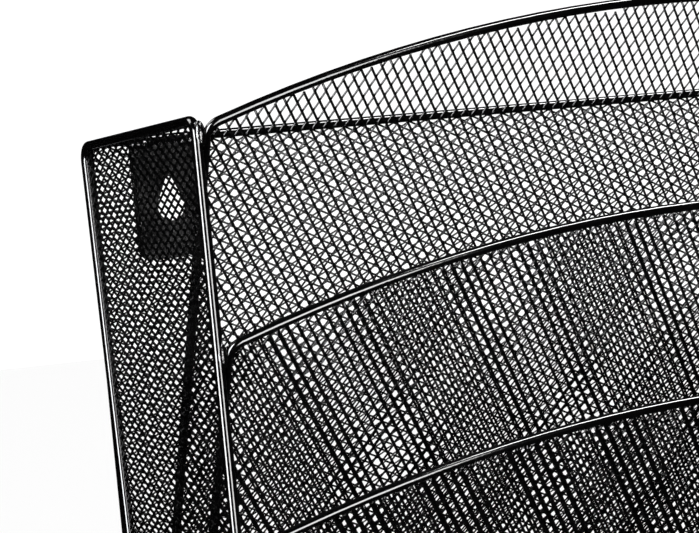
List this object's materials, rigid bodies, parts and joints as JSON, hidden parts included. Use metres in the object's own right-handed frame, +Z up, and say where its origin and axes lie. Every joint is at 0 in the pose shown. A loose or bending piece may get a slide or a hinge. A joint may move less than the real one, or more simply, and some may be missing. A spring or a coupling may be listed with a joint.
{
  "type": "wall mounted mesh file rack",
  "caption": "Wall-hung rack of slanting open-topped pockets, bent wire frames filled with expanded mesh, holding files and magazines in cascading tiers.",
  "frame": {"origin": "on the wall plane, midway between the two nails that carry the keyhole plates", "axes": "+X along the wall to the right of someone facing the rack, +Y into the wall, +Z up"},
  "size_m": [0.3144, 0.1234, 0.4737],
  "materials": {
    "side_wire": "gloss black paint",
    "back_wire": "gloss black paint",
    "pocket_wire": "gloss black paint",
    "side_mesh": "gloss black paint",
    "back_mesh": "gloss black paint",
    "pocket_mesh": "gloss black paint",
    "plate": "gloss black paint",
    "weld": "gloss black paint"
  },
  "bodies": {
    "root": {"side_frame_left": "side_wire", "side_mesh_left": "side_mesh", "hanger_plate_left": "plate", "post_welds_left": "weld", "foot_welds_left": "weld", "side_frame_right": "side_wire", "side_mesh_right": "side_mesh", "hanger_plate_right": "plate", "post_welds_right": "weld", "foot_welds_right": "weld", "pocket_frame_1": "pocket_wire", "pocket_mesh_1": "pocket_mesh", "pocket_frame_2": "pocket_wire", "pocket_mesh_2": "pocket_mesh", "pocket_frame_3": "pocket_wire", "pocket_mesh_3": "pocket_mesh", "pocket_frame_4": "pocket_wire", "pocket_mesh_4": "pocket_mesh", "pocket_frame_5": "pocket_wire", "pocket_mesh_5": "pocket_mesh", "back_frame": "back_wire", "back_mesh": "back_mesh", "hanger_welds": "weld"}
  },
  "joints": []
}
